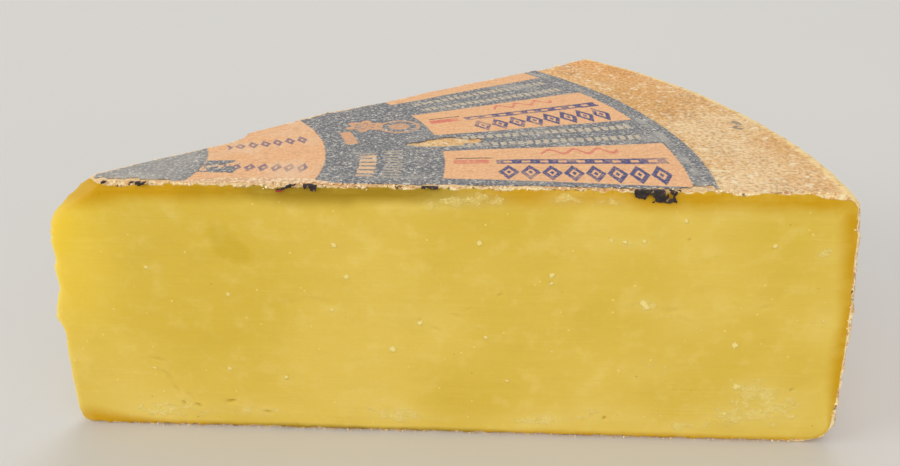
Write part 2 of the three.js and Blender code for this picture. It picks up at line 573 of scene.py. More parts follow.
def sculpt(piece, wave):
    """Wears the plain wedge: waves in the rind, the far cut's bow, the crumbled crust, dents and smears.

    Four values are kept on every point for the material: rind_depth, in millimetres;
    crystals_and_dent_shade, above 0 at the pale crystals and below 0 in dents, where it paints a darker
    shade;
    smear, where pale flakes lie; and dry, up to 1 on the nose's side, where it paints a highlight."""
    depths = []
    crystals_and_dent_shades = []
    smears = []
    nose_highlights = []
    normals = [v.normal.copy() for v in piece.data.vertices]
    for vertex, normal in zip(piece.data.vertices, normals):
        local = vertex.co - AXIS
        from_near = local.y + NEAR_CUT_OFFSET
        # The remeshed flats go back onto their planes.
        if normal.y < -0.9 and from_near < 1.5 * MM:
            local.y = -NEAR_CUT_OFFSET
            from_near = 0.0
        if normal.z > 0.95 and HEIGHT - local.z < 1.5 * MM:
            local.z = HEIGHT
        if normal.z < -0.95 and local.z < 1.5 * MM:
            local.z = 0.0
        far = far_distance(local)
        if normal.dot(FAR_OUT) > 0.9 and abs(far) < 1.5 * MM:
            local -= FAR_OUT * far
            far = 0.0
        x = (local.x + AXIS.x) / MM
        z = local.z / MM
        depth = rind_depth(local)
        radius = math.hypot(local.x, local.y)
        if radius > 0.27:
            facing_out = normal.dot(Vector((local.x, local.y, 0)).normalized())
            if depth < 3 * MM and normal.y > -0.75 and normal.dot(FAR_OUT) < 0.75:
                depth *= 1 - ease(facing_out, 0.08, 0.25)
        on_rind = 1 - ease(depth, 0.4 * MM, 1.2 * MM)
        is_near = 1 - ease(from_near, 0.0, 1.0 * MM)
        is_far = ease(far, -1.0 * MM, 0.0)
        from_top = HEIGHT - local.z
        crystals_and_dent_shade = 0.0
        smear = 0.0
        move = Vector((0, 0, 0))

        # Waves in the rind, strongest at the top and fading down the cuts
        move.z += top_wave(local.x, local.y, wave) * ease(local.z, HEIGHT - 25 * MM, HEIGHT)
        # The far cut wanders, and the top beside it goes along
        move += FAR_OUT * far_bow(local) * ease(far, -26 * MM, 0.0)
        # The heel is uneven
        if radius > 0.28:
            outward = Vector((local.x, local.y, 0)).normalized()
            heel = on_rind * ease(local.z, 2 * MM, 9 * MM) * ease(radius, 0.28, 0.3)
            uneven = grain_at(local, 31, 5) + 0.45 * grain_at(local, 9, 6)
            move += outward * heel * 0.55 * MM * uneven
        # Slow hollows in the two cuts
        if is_near > 0:
            slow = 0.28 * grain(local.x, 0, local.z, 46 * MM, 8)
            slow += 0.06 * grain(local.x, 0, local.z, 13 * MM, 9)
            move.y += is_near * slow * MM * ease(depth, 1 * MM, 14 * MM)
        if is_far > 0:
            slow = 0.6 * grain_at(local, 38, 11)
            slow += 0.14 * grain(local.x, local.y, local.z * 2.2, 9 * MM, 12)
            move += FAR_OUT * is_far * slow * MM * ease(depth, 1 * MM, 14 * MM)

        # The nose has a torn lobe half way up, and is bumpy
        nose = (local - FOOT_APEX).dot(MIDDLE) - along_table(NOSE_SETBACK, z) * MM
        if nose < 26 * MM:
            near_nose = 1 - ease(nose, 0.0, 26 * MM)
            lobe = swelling(z, *NOSE_LOBE) * (1 - ease(nose, 0.0, 12 * MM))
            bumps = 0.9 * grain_at(local, 16, 13) + 0.35 * grain_at(local, 5, 14)
            swell = along_table(NOSE_LEAN, z) + swelling(z, *NOSE_BROW) + swelling(z, *NOSE_TUCK)
            move.x -= MM * (lobe + swell * near_nose)
            move -= MIDDLE * MM * near_nose * (1 - is_near * 0.5) * bumps * 0.7
            smear += 0.5 * near_nose * ease(grain(local.x, local.y, local.z * 0.5, 7 * MM, 15), 0.1, 0.6)

        # Crust along the near cut's top edge: a crumbled lip, and a small hollow under it
        if from_near < 6 * MM and from_top < 7 * MM:
            by_edge = (1 - ease(from_near, 1.2 * MM, 5.0 * MM)) * (1 - ease(from_top, 0.6 * MM, 2.4 * MM))
            rough = grain_at(local, 2.4, 16) + 0.7 * grain_at(local, 1.1, 17)
            sweep = grain(local.x, 0, 0, 14 * MM, 18)
            lumps = 0.9 * grain_at(local, 3.9, 19) + 0.5 * grain_at(local, 1.3, 20)
            move.y -= by_edge * MM * (0.1 + 0.5 * sweep + 0.55 * rough)
            move.z += by_edge * MM * (0.35 + 0.7 * sweep + lumps)
            hollow = is_near * ease(from_top, 1.0 * MM, 2.4 * MM) * (1 - ease(from_top, 3.0 * MM, 6.5 * MM))
            move.y += hollow * MM * (0.25 + 0.3 * sweep)
        # Crumbled crust along the far cut's top edge
        if far > -4 * MM and from_top < 4 * MM:
            by_edge = ease(far, -3.5 * MM, -0.5 * MM) * (1 - ease(from_top, 0.5 * MM, 3 * MM))
            rough = grain_at(local, 2.6, 21) + 0.5 * grain_at(local, 1.2, 22)
            move += FAR_OUT * by_edge * MM * 1.6 * rough
            move.z += by_edge * MM * 1.1 * grain_at(local, 2.2, 23)
        # Crumbled crust down the near cut's heel edge and along its foot
        if from_near < 4 * MM and depth < 4 * MM and from_top > 2 * MM:
            by_edge = (1 - ease(from_near, 0.5 * MM, 3.5 * MM)) * (1 - ease(depth, 0.5 * MM, 3 * MM))
            rough = grain_at(local, 2.4, 24) + 0.5 * grain_at(local, 1.1, 25)
            move += normal * by_edge * MM * 0.8 * rough

        # Dents, crystals and crumbly smears in the near cut
        if is_near > 0 and depth > 0:
            dent = dent_depth(x, z)
            move.y += is_near * MM * dent
            # The dents are marked for a painted shade: a darker olive in them.
            crystals_and_dent_shade -= 0.55 * dent
            for cx, cz, half in CRYSTALS:
                away = ((x - cx) ** 2 + (z - cz) ** 2) / (1.25 * half) ** 2
                if away < 6:
                    crystals_and_dent_shade += 0.9 * math.exp(-away)
                    move.y -= is_near * 0.12 * MM * math.exp(-away)
            for cx, cz, half_x, half_z, strength in SMEARS:
                away = ((x - cx) / half_x) ** 2 + ((z - cz) / half_z) ** 2
                if away < 5:
                    smear += strength * math.exp(-away)

        vertex.co = local + AXIS + move
        depths.append(depth / MM)
        crystals_and_dent_shades.append(clamp(crystals_and_dent_shade, -1.0, 1.0))
        smears.append(clamp(smear))
        # A painted highlight on the nose's side that faces the side light, weaker towards the top.
        by_nose = (1 - ease(nose, 6 * MM, 14 * MM)) * ease(-normal.x, 0.15, 0.8)
        nose_highlights.append(by_nose * (1 - 0.8 * ease(z, 88, 104)))
    keep_values(piece, "rind_depth", depths)
    keep_values(piece, "crystals_and_dent_shade", crystals_and_dent_shades)
    keep_values(piece, "smear", smears)
    keep_values(piece, "dry", nose_highlights)
    piece.data.update()


def round_nose(piece):
    """Softens the nose, whose corners are worn round."""
    select_only(piece)
    bpy.ops.object.mode_set(mode="EDIT")

    def by_nose(vertex):
        local = vertex.co - AXIS
        setback = along_table(NOSE_SETBACK, local.z / MM) * MM
        reach = (6 + 10 * ease(local.z, 80 * MM, 95 * MM)) * MM
        return (local - FOOT_APEX).dot(MIDDLE) - setback < reach and HEIGHT - local.z > 3 * MM

    pick("VERT", by_nose)
    bpy.ops.mesh.vertices_smooth(factor=0.5, repeat=7)
    bpy.ops.mesh.select_all(action="DESELECT")
    bpy.ops.object.mode_set(mode="OBJECT")


# ---------------------------------------------------------------- materials

class Wire:
    """One output of a material's nodes. Sums written on it add Math nodes."""

    def __init__(self, finish, socket):
        self.finish = finish
        self.socket = socket

    def sum(self, operation, *values, clamped=False):
        settings = {"operation": operation, "use_clamp": clamped}
        return self.finish.node("ShaderNodeMath", settings, dict(enumerate(values)))

    def __add__(self, other):
        return self.sum("ADD", self, other)

    __radd__ = __add__

    def __sub__(self, other):
        return self.sum("SUBTRACT", self, other)

    def __rsub__(self, other):
        return self.sum("SUBTRACT", other, self)

    def __mul__(self, other):
        return self.sum("MULTIPLY", self, other)

    __rmul__ = __mul__

    def __truediv__(self, other):
        return self.sum("DIVIDE", self, other)

    def __pow__(self, other):
        return self.sum("POWER", self, other)

    def __abs__(self):
        return self.sum("ABSOLUTE", self)

    def __mod__(self, other):
        return self.sum("FLOORED_MODULO", self, other)

    def above(self, other):
        return self.sum("GREATER_THAN", self, other)

    def least(self, other):
        return self.sum("MINIMUM", self, other)

    def most(self, other):
        return self.sum("MAXIMUM", self, other)

    def held(self):
        """The value kept between 0 and 1."""
        return self.sum("ADD", self, 0.0, clamped=True)

    def rise(self, low, high):
        """0 up to low, 1 from high, smooth between."""
        return self.finish.node(
            "ShaderNodeMapRange", {"interpolation_type": "SMOOTHSTEP"},
            {"Value": self, "From Min": low, "From Max": high, "To Min": 0.0, "To Max": 1.0})

    def fall(self, low, high):
        return 1 - self.rise(low, high)

    def band(self, low, high, soft):
        """1 between low and high, with soft edges."""
        return self.rise(low - soft, low + soft) * self.fall(high - soft, high + soft)


class Finish:
    """A material in the making. Every node comes from node()."""

    def __init__(self, name):
        self.material = bpy.data.materials.new(name)
        self.material.use_nodes = True
        self.tree = self.material.node_tree
        self.tree.nodes.clear()
        self.place = self.node("ShaderNodeTexCoord", output="Object")

    def node(self, kind, settings=None, inputs=None, output=0):
        made = self.tree.nodes.new(kind)
        for key, value in (settings or {}).items():
            setattr(made, key, value)
        for key, value in (inputs or {}).items():
            socket = made.inputs[key]
            if isinstance(value, Wire):
                self.tree.links.new(value.socket, socket)
            elif socket.type == "RGBA" and len(value) == 3:
                socket.default_value = (*value, 1.0)
            else:
                socket.default_value = value
        return Wire(self, made.outputs[output]) if len(made.outputs) else made

    def attribute(self, name):
        return self.node("ShaderNodeAttribute", {"attribute_name": name}, output="Fac")

    def stretched(self, scale, shift=(0, 0, 0)):
        """The place on the piece, moved and then stretched."""
        return self.node("ShaderNodeMapping", {"vector_type": "POINT"},
                         {"Vector": self.place, "Scale": scale, "Location": shift})

    def moved(self, shift):
        """The place on the piece, moved."""
        return self.stretched((1, 1, 1), shift)

    def axis(self, name, place=None):
        return self.node("ShaderNodeSeparateXYZ", {}, {0: place or self.place}, name)

    def noise(self, scale, detail=3.0, rough=0.55, place=None):
        return self.node(
            "ShaderNodeTexNoise", {},
            {"Vector": place or self.place, "Scale": scale, "Detail": detail, "Roughness": rough})

    def cells(self, scale, place=None):
        """Distance from the middle of the nearest of many scattered cells."""
        return self.node(
            "ShaderNodeTexVoronoi", {}, {"Vector": place or self.place, "Scale": scale}, "Distance")

    def mix(self, share, first, second):
        inputs = {0: share, 6: first, 7: second}
        return self.node("ShaderNodeMix", {"data_type": "RGBA"}, inputs, 2)

    def coats(self, base, *coats):
        """Lays colours over the base in turn. Each coat is its share and its colour."""
        for share, tint in coats:
            base = self.mix(share, base, tint)
        return base

    def bump(self, height, distance, strength):
        inputs = {"Height": height, "Distance": distance, "Strength": strength}
        return self.node("ShaderNodeBump", {}, inputs)

    def finish(self, inputs):
        shader = self.node("ShaderNodeBsdfPrincipled", {}, inputs)
        self.node("ShaderNodeOutputMaterial", {}, {"Surface": shader})
        return self.material


def cheese_finish(settings):
    """Cut cheese, amber under the rind, the crust's pale line and the rind, told apart by rind_depth."""
    f = Finish("cheese")
    depth = f.attribute("rind_depth")
    crystals_and_dent_shade = f.attribute("crystals_and_dent_shade")

    # The cut cheese
    clouds = f.noise(14.0, 2.0)
    fine = f.noise(420.0, 3.0, 0.6)
    streaks = f.noise(1.0, 4.0, 0.65, f.stretched((30, 30, 640)))
    long_streaks = f.noise(1.0, 2.0, 0.5, f.stretched((9, 9, 240)))
    mottle = f.noise(110.0, 3.0, 0.6)
    paste = f.mix(clouds.rise(0.35, 0.7) * 0.8, settings.paste, settings.paste_deep)
    paste = f.mix(mottle.rise(0.48, 0.75) * 0.2, paste, settings.crumb)
    scuffs = f.noise(1.0, 4.0, 0.62, f.stretched((44, 44, 80)))
    paste = f.coats(
        paste,
        (scuffs.rise(0.54, 0.7) * 0.14, settings.crumb),
        (scuffs.fall(0.32, 0.46) * 0.16, colour("cfae3c")),
        (streaks.rise(0.5, 0.8) * 0.08, settings.crumb),
        (fine.rise(0.55, 0.8) * 0.08, settings.crumb))
    pale_specks = f.cells(150.0).fall(0.04, 0.085)
    paste = f.mix(pale_specks * 0.6, paste, settings.crumb)
    # Tiny pits: a bump, with a painted shade of darker olive in them.
    pinholes = f.cells(95.0, f.moved((0.4, 0.2, 0.6))).fall(0.015, 0.04)
    paste = f.mix(pinholes * 0.6, paste, colour("b8961a"))

    # Amber, its depth wandering along the cut
    wander = f.noise(24.0, 3.0, 0.6)
    height = f.axis("Z")
    along = f.axis("X")
    nose = along.fall(LOW.x + 4 * MM, LOW.x + 42 * MM)
    reach = (4.0 + 9.5 * wander) * (0.45 + 0.55 * (height / HEIGHT).rise(0.05, 0.4)) + nose * 7
    amber_share = (depth / reach).fall(0.3, 1.05)
    olive = (along + (wander - 0.5) * 0.06).band(-88 * MM, 12 * MM, 22 * MM)
    amber = f.mix(olive, settings.amber, settings.olive)
    paste = f.coats(
        paste,
        # The upper nose is painted a brighter, richer yellow: partly the paste's own tone, partly a painted
        # highlight where the side light catches it.
        (nose * (height / HEIGHT).rise(0.2, 0.8) * 0.6, colour("f8d22a")),
        (amber_share * (0.97 - 0.2 * scuffs.rise(0.48, 0.62)), amber),
        # Painted highlight: a pale tint along the nose's side.
        (f.attribute("dry") * 0.7, settings.crumb),
        (f.attribute("smear") * 0.24, settings.crumb))
    above_bruise = height - BRUISE_PLACE[1] * MM
    bruise_x = (along - BRUISE_PLACE[0] * MM + above_bruise * 0.5) / (BRUISE_HALF[0] * MM)
    bruise_z = above_bruise / (BRUISE_HALF[1] * MM)
    bruise = bruise_x ** 2 + bruise_z ** 2 + 3.2 * (scuffs - 0.5)
    paste = f.mix(bruise.fall(0.2, 1.6) * 0.4, paste, colour("c6a412"))

    # Pale crumbs
    flecks = f.noise(1300.0, 2.0, 0.5)
    flakes = f.noise(1.0, 4.0, 0.62, f.stretched((230, 230, 330)))
    crystals = (crystals_and_dent_shade * 1.1 + (flecks - 0.5) * 1.2).rise(0.32, 0.6) * 0.85
    flake_edges = flakes + 0.36 * (f.attribute("smear") - 1)
    flake_share = flake_edges.rise(0.415, 0.47) * (0.24 + 0.52 * flecks.rise(0.42, 0.66))
    crumb_share = crystals.most(flake_share)
    paste = f.coats(
        paste,
        (crumb_share, settings.crumb),
        # Painted shade: a darker olive in the dents.
        ((crystals_and_dent_shade * -1.4).held() * 0.5, colour("b8961a")))

    # The crust
    ragged = f.noise(560.0, 4.0, 0.7)
    slow_ragged = f.noise(110.0, 2.0, 0.5)
    centred = f.moved((-AXIS.x, -AXIS.y, 0.0))
    across = f.node("ShaderNodeVectorMath", {"operation": "MULTIPLY"}, {0: centred, 1: (1, 1, 0)})
    from_axis = f.node("ShaderNodeVectorMath", {"operation": "LENGTH"}, {0: across}, "Value")
    by_heel = from_axis.rise(0.285, 0.297)
    crust_edge = depth + 0.8 * (ragged - 0.5) + 2.2 * (slow_ragged - 0.5) - 1.3 * by_heel
    crust_share = crust_edge.fall(settings.crust / MM - 0.25, settings.crust / MM + 0.2)
    specks = f.noise(620.0, 2.0, 0.5, f.moved((0.3, 0.1, 0.2)))
    speck_places = f.noise(60.0, 2.0, 0.5, f.moved((0.7, 0.4, 0.1)))
    crust = f.mix(ragged.rise(0.34, 0.54), settings.crust_brown, settings.crust_pale)
    dark_bits = specks.rise(0.55, 0.62) * speck_places.rise(0.45, 0.6) * 0.9
    crust = f.mix(dark_bits, crust, colour("4a2a14"))
    surface = f.mix(crust_share, paste, crust)

    # The rind, more orange where the wheel was handled least
    grains = f.noise(620.0, 3.0, 0.6)
    coarse = f.noise(230.0, 3.0, 0.6)
    pebbles = f.cells(430.0)
    smears = f.noise(1.0, 4.0, 0.6, f.stretched((60, 30, 30)))
    patches = f.noise(16.0, 3.0, 0.55)
    far_side = f.axis("Y").rise(0.0, HIGH.y)
    rind = f.mix(patches.rise(0.35, 0.7), settings.rind, settings.rind_pale)
    rind = f.coats(
        rind,
        (far_side * 0.85, settings.rind_orange),
        (grains.rise(0.5, 0.66) * 0.52, settings.rind_dark),
        (smears.rise(0.5, 0.75) * coarse.rise(0.4, 0.6) * 0.55, settings.rind_dark),
        # Painted highlights: pale glints on the rind's grains, and near-white specks.
        (grains.fall(0.34, 0.48) * 0.6, colour("fbe3b8")),
        (coarse.rise(0.56, 0.66) * 0.6, colour("ffeec8")))
    # A painted highlight: a thin pale line along the rim's outer edge, where light from behind grazes it.
    rim_highlight = from_axis.rise(SHOULDER_RADIUS - 9.5 * MM, SHOULDER_RADIUS - 6 * MM)
    rim_highlight = rim_highlight * (height / HEIGHT).rise(0.93, 0.98) * coarse.rise(0.3, 0.5)
    rind = f.mix(rim_highlight * 0.85, rind, colour("ffe2a0"))
    smudge_x = along - (AXIS.x + SMUDGE_PLACE[0] * MM)
    smudge_y = f.axis("Y") - (AXIS.y + SMUDGE_PLACE[1] * MM)
    smudge = (smudge_x / (SMUDGE_HALF[0] * MM)) ** 2 + (smudge_y / (SMUDGE_HALF[1] * MM)) ** 2
    smudge = smudge.fall(0.6, 1.1)
    rind = f.mix(smudge * coarse.rise(0.42, 0.5) * 0.7, rind, colour("77706a"))
    on_rind = depth.fall(0.25, 0.6)
    surface = f.mix(on_rind, surface, rind)

    rough_paste = 0.44 + 0.12 * clouds + 0.1 * streaks + 0.2 * crumb_share
    rough = rough_paste + on_rind * 0.35 + crust_share * 0.2
    grain_height = on_rind * (0.7 * grains + 0.5 * pebbles + 0.5 * coarse)
    paste_height = 0.35 * streaks + 0.3 * long_streaks + 0.12 * fine + 0.35 * mottle + 0.5 * scuffs
    paste_height = (1 - on_rind) * (paste_height + 0.9 * crumb_share - 0.5 * pinholes)
    crust_height = crust_share * ragged * 0.9
    normal = f.bump(grain_height + paste_height * 0.7 + crust_height, 0.7 * MM, 0.8)
    return f.finish({
        "Base Color": surface, "Roughness": rough.least(0.95), "Normal": normal,
        "IOR": 1.44, "Specular IOR Level": 0.3, "Specular Tint": (1.0, 0.93, 0.62, 1.0),
        "Subsurface Weight": 0.18, "Subsurface Radius": (1.0, 0.62, 0.16),
        "Subsurface Scale": 4 * MM})


def label_finish(settings):
    """The worn print: dark ground, ochre panels and plain marks, laid out round the wheel's axis."""
    f = Finish("printed_label")
    centred = f.moved((-AXIS.x, -AXIS.y, 0.0))
    x = f.axis("X", centred) * 1000
    y = f.axis("Y", centred) * 1000
    drift = f.noise(45.0, 2.0, 0.5) - 0.5
    fray = f.noise(700.0, 2.0, 0.6) - 0.5
    radius = (x * x + y * y) ** 0.5 + drift * 1.2 + fray * 0.8
    angle = x.sum("ARCTAN2", y, x) * (180 / math.pi) + fray * 0.25
    turn = (angle + 7) % 20 - 10

    soft = 0.35
    panel = radius.band(151.5, 244, soft) * abs(turn).fall(5.9, 6.1)
    rubbed_start = 57 + 14 * angle.band(-4.5, 8, 0.5) * f.noise(170.0, 3.0, 0.7).rise(0.42, 0.5)
    inner = (radius - rubbed_start).rise(-0.4, 0.4) * radius.fall(103.6, 104.4)
    ochre = panel.most(inner)

    # Wear
    fibres = f.noise(800.0, 4.0, 0.75)
    flakes = f.noise(650.0, 2.0, 0.6)
    rubs = f.noise(60.0, 3.0, 0.6)
    long_rubs = f.noise(1.0, 3.0, 0.6, f.stretched((260, 900, 240)))
    # The grey of the dark ground and its pale fibres is partly worn print, partly painted sheen.
    ground = f.mix(fibres.rise(0.46, 0.66), settings.ground, settings.ground_worn)
    ground = f.coats(
        ground,
        (rubs.rise(0.5, 0.75) * 0.4, settings.ground_worn),
        (flakes.rise(0.6, 0.66) * 0.8, colour("e6e0d0")),
        (radius.fall(50, 60) * 0.4, settings.ground_worn),
        (radius.band(245, 248.5, 0.6) * rubs.rise(0.35, 0.6) * 0.6, colour("b9b3a6")))
    panels = f.mix(fibres.rise(0.38, 0.66), settings.panel, settings.panel_worn)
    panels = f.coats(
        panels,
        (long_rubs.rise(0.5, 0.72) * 0.5, colour("c58c63")),
        (inner * rubs.rise(0.4, 0.7) * 0.45, colour("efd0ae")))
    paper = f.mix(ochre, ground, panels)

    # Blue marks in the panels: a bar with pale dots, and a row of lozenges
    bar = radius.band(172, 240, 0.3) * turn.band(0.0, 1.6, 0.08)
    dot = abs(radius % 7.2 - 3.6).fall(1.5, 1.9) * abs(turn - 0.8).fall(0.25, 0.4)
    from_row = abs(turn + 3.1)
    beat = abs((radius - 172) % 8.3 - 4.15)
    lozenge = beat / 4.05 + from_row / 2.6
    row = lozenge.band(0.5, 1.0, 0.05).most(lozenge.fall(0.2, 0.26)) * radius.band(172, 238.5, 0.3)
    marked = panel * angle.fall(32, 33)
    blue = (bar * (1 - dot)).most(row) * marked

    # A red wavy line, and a small red block with a black stroke
    wave = (radius * 0.62).sum("SINE", radius * 0.62) * 0.75
    script = abs(turn - 4.3 - wave).fall(0.3, 0.45) * radius.band(191, 223, 0.4)
    block = radius.band(155, 169, 0.4) * turn.band(0.1, 1.7, 0.1)
    stroke = radius.band(156, 171, 0.4) * turn.band(2.2, 2.6, 0.08)
    red = (script * 0.75).most(block * 0.85) * marked

    # Two rows of pale dashes in the dark bands
    away = abs(turn)
    jitter = f.noise(70.0, 1.0, 0.5) * 3
    dashes = ((radius + jitter) % 3.7).band(0.7, 3.1, 0.2)
    pale = away.band(7.6, 8.9, 0.08) * dashes * radius.band(160, 239, 0.5) * angle.above(0.0)

    # Faint rows in the inner ring
    from_row = abs(angle - 1).least(abs(angle - 22))
    lozenges = abs(radius % 5.2 - 2.6) / 2.4 + from_row / 3.4
    inner_blue = lozenges.band(0.3, 0.95, 0.08) * radius.band(65, 99, 0.4)

    # A plain flower, a ring and a bar, and two columns of dashes, in the dark ring
    fx = x - FLOWER_PLACE[0]
    fy = y - FLOWER_PLACE[1]
    flower = (fx * fx + fy * fy) ** 0.5
    flower_turn = fx.sum("ARCTAN2", fy, fx) * 6
    flower = flower + 1.6 * flower_turn.sum("COSINE", flower_turn)
    flower = flower.fall(7.0, 7.6) * (1 - flower.band(2.6, 3.4, 0.3))
    gx = x - RING_PLACE[0]
    gy = y - RING_PLACE[1]
    ring = (gx * gx + gy * gy) ** 0.5
    ring = ring.band(7.6, 9.4, 0.3).most(ring.fall(4.4, 5.0))
    slab = radius.band(113, 118, 0.4) * angle.band(15.5, 24.0, 0.3)
    ticks = (angle % 2.1).band(0.3, 1.75, 0.1)
    blocks = radius.band(118, 124.5, 0.3) * ticks * angle.band(-3.4, 9, 0.2)
    faint = radius.band(128, 135, 0.3) * (angle % 1.3).band(0.3, 1.0, 0.1) * angle.band(-3.5, 10.5, 0.2)
    emblem = flower.most(ring * 0.8).most(slab)

    worn = (0.45 + 1.1 * rubs.fall(0.35, 0.7)).held() * fibres.fall(0.5, 0.75).most(0.5)
    paper = f.coats(
        paper,
        (pale * 0.75 * worn, colour("dcc8a6")),
        (emblem * 0.85 * worn, settings.panel),
        (blocks * 0.8 * worn, settings.panel_worn),
        (faint * 0.4 * worn, colour("dcc8a6")),
        (red * worn, settings.red),
        (blue * worn, settings.blue),
        (inner_blue * inner * worn * 0.75, settings.blue),
        (stroke * marked * 0.8 * worn, colour("3b3434")))

    # Bare paper where the label is torn along its edge
    torn = f.attribute("torn")
    torn_share = (torn + 0.9 * (fibres - 0.5)).rise(0.35, 0.6)
    bare = f.mix(flakes.rise(0.4, 0.6), colour("d9a77e"), colour("f9dcae"))
    paper = f.mix(torn_share, paper, bare)

    rough = 0.78 + 0.15 * fibres
    relief = fibres * 0.6 + rubs * 0.6 + long_rubs * 0.3 + flakes * 0.5
    normal = f.bump(relief, 0.45 * MM, 0.7)
    return f.finish({"Base Color": paper, "Roughness": rough, "Normal": normal})


def scrap_finish(settings):
    """Old torn scraps of the label, dark and wrinkled."""
    f = Finish("label_scraps")
    blotches = f.noise(700.0, 3.0, 0.6)
    tint = f.mix(blotches.rise(0.4, 0.6), colour("1e1614"), settings.scrap)
    tint = f.coats(
        tint,
        (blotches.rise(0.62, 0.7) * 0.7, colour("b08a5c")),
        (f.attribute("red_end"), colour("9c3a22")))
    normal = f.bump(blotches, 0.4 * MM, 0.8)
    return f.finish({"Base Color": tint, "Roughness": 0.7 + 0.2 * blotches, "Normal": normal})


def crumb_finish(settings):
    """Dry crumbs of rind, from cream to brown."""
    f = Finish("rind_crumbs")
    tone = f.noise(300.0, 2.0, 0.6)
    fine = f.noise(1600.0, 2.0, 0.6)
    tint = f.mix(tone.rise(0.34, 0.5), settings.crust_brown, settings.crust_pale)
    tint = f.mix(tone.fall(0.26, 0.31), tint, colour("5a3418"))
    normal = f.bump(fine, 0.2 * MM, 0.6)
    return f.finish({"Base Color": tint, "Roughness": 0.75 + 0.2 * fine, "Normal": normal})


def floor_finish(settings):
    f = Finish("studio_floor")
    mottle = f.noise(3.0, 2.0)
    tint = f.mix(mottle * 0.15, settings.floor, colour("cfccc6"))
    return f.finish({"Base Color": tint, "Roughness": 0.75 + 0.1 * mottle})


# ---------------------------------------------------------------- operators

class CHEESE_OT_cut_wedge(bpy.types.Operator):
    """Cut the wedge from the wheel, and wear its rind and its cuts"""

    bl_idname = "cheese.cut_wedge"
    bl_label = "Cut the wedge"

    def execute(self, context):
        settings = context.scene.cheese_wedge
        piece = cut_blank(settings.grain)
        refine(piece)
        sculpt(piece, settings.wave)
        round_nose(piece)
        select_only(piece)
        bpy.ops.object.shade_smooth()
        dress(piece, cheese_finish(settings))
        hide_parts("cheese_wedge")
        return {"FINISHED"}


def label_outline(radius):
    """The torn outline of the label about the wheel's axis, in order round it."""
    step = 0.7 * MM
    points = []
    nose_x = 20 * MM
    near_y = -NEAR_CUT_OFFSET
    end_x = math.sqrt(radius ** 2 - near_y ** 2)
    x = nose_x
    while x < end_x - MM:
        torn = 3.3 + 1.5 * grain(x, 0, 0, 9 * MM, 31) + 1.3 * grain(x, 0, 0, 2.6 * MM, 32)
        torn += 0.8 * grain(x, 0, 0, 1.0 * MM, 33) + 4.5 * ease(x, 234 * MM, 249 * MM)
        torn += 2.2 * (1 - ease(x, 30 * MM, 60 * MM))
        points.append((x, near_y + max(0.15, torn) * MM))
        x += step
    far_point = far_edge_at(radius) - MM
    far_along = math.sqrt(radius ** 2 - far_point ** 2)
    start_angle = math.atan2(near_y + MM, end_x)
    end_angle = math.atan2(*reversed((FAR_ALONG * far_along + FAR_OUT * far_point)[:2]))
    turns = round(radius * (end_angle - start_angle) / (1.2 * MM))
    for index in range(turns + 1):
        angle = start_angle + (end_angle - start_angle) * index / turns
        rough = radius + 0.35 * MM * grain(angle * radius, 0, 0, 5 * MM, 35)
        points.append((rough * math.cos(angle), rough * math.sin(angle)))
    along = far_along - MM
    while along > 7 * MM:
        torn = 0.7 + 0.4 * grain(along, 0, 0, 8 * MM, 36) + 0.6 * grain(along, 0, 0, 1.8 * MM, 37)
        out = far_edge_at(math.hypot(along, FAR_CUT_OFFSET)) - max(0.1, torn) * MM
        place = FAR_ALONG * along + FAR_OUT * out
        points.append((place.x, place.y))
        along -= step
    return points


